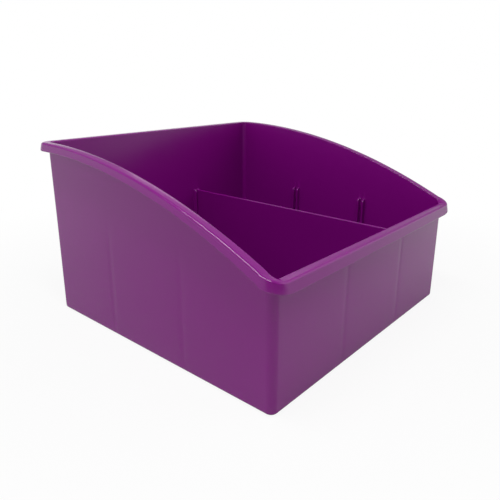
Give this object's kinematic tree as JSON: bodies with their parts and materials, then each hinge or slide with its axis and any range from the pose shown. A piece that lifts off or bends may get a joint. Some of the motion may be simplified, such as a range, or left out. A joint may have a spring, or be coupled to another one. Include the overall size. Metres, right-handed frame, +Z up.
{
  "type": "picture book browser bin",
  "caption": "Open moulded plastic tub for browsing picture books, with a high back, a low front, curved side edges, a rolled rim, ribbed divider slots and a lift-out divider panel.",
  "frame": {"origin": "middle of the flat base, on the table", "axes": "+X to the right along the low front, +Y from the front to the high back, +Z up"},
  "size_m": [0.3254, 0.313, 0.1815],
  "materials": {
    "tub_plastic": "satin purple polypropylene",
    "divider_plastic": "satin purple polypropylene"
  },
  "bodies": {
    "bin": {"tub": "tub_plastic"},
    "divider": {"divider": "divider_plastic"}
  },
  "joints": [
    {"name": "divider_lift", "type": "slide", "parent": "bin", "child": "divider", "axis": [0, 0, 1], "range_m": [0, 0.19]}
  ]
}
